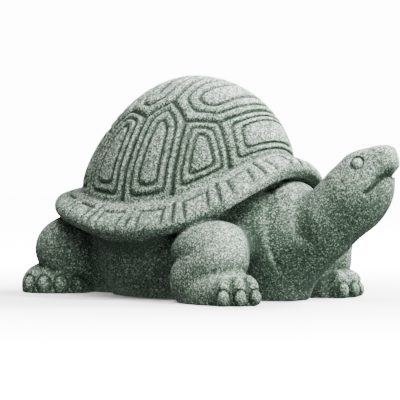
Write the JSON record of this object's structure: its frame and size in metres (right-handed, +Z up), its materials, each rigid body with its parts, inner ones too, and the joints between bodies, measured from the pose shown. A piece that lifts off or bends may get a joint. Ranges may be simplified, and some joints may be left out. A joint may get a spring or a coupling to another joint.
{
  "type": "stone turtle figure",
  "caption": "Carved stone turtle with a domed, plate-patterned shell, standing on clawed feet with its head raised and turned a little to one side.",
  "frame": {"origin": "middle of the figure's bounding box at its underside, the surface it stands on", "axes": "+X towards the head, +Y towards the turtle's left, +Z up"},
  "size_m": [0.2896, 0.173, 0.154],
  "materials": {
    "granite": null
  },
  "bodies": {
    "root": {"stone_turtle": "granite"}
  },
  "joints": []
}
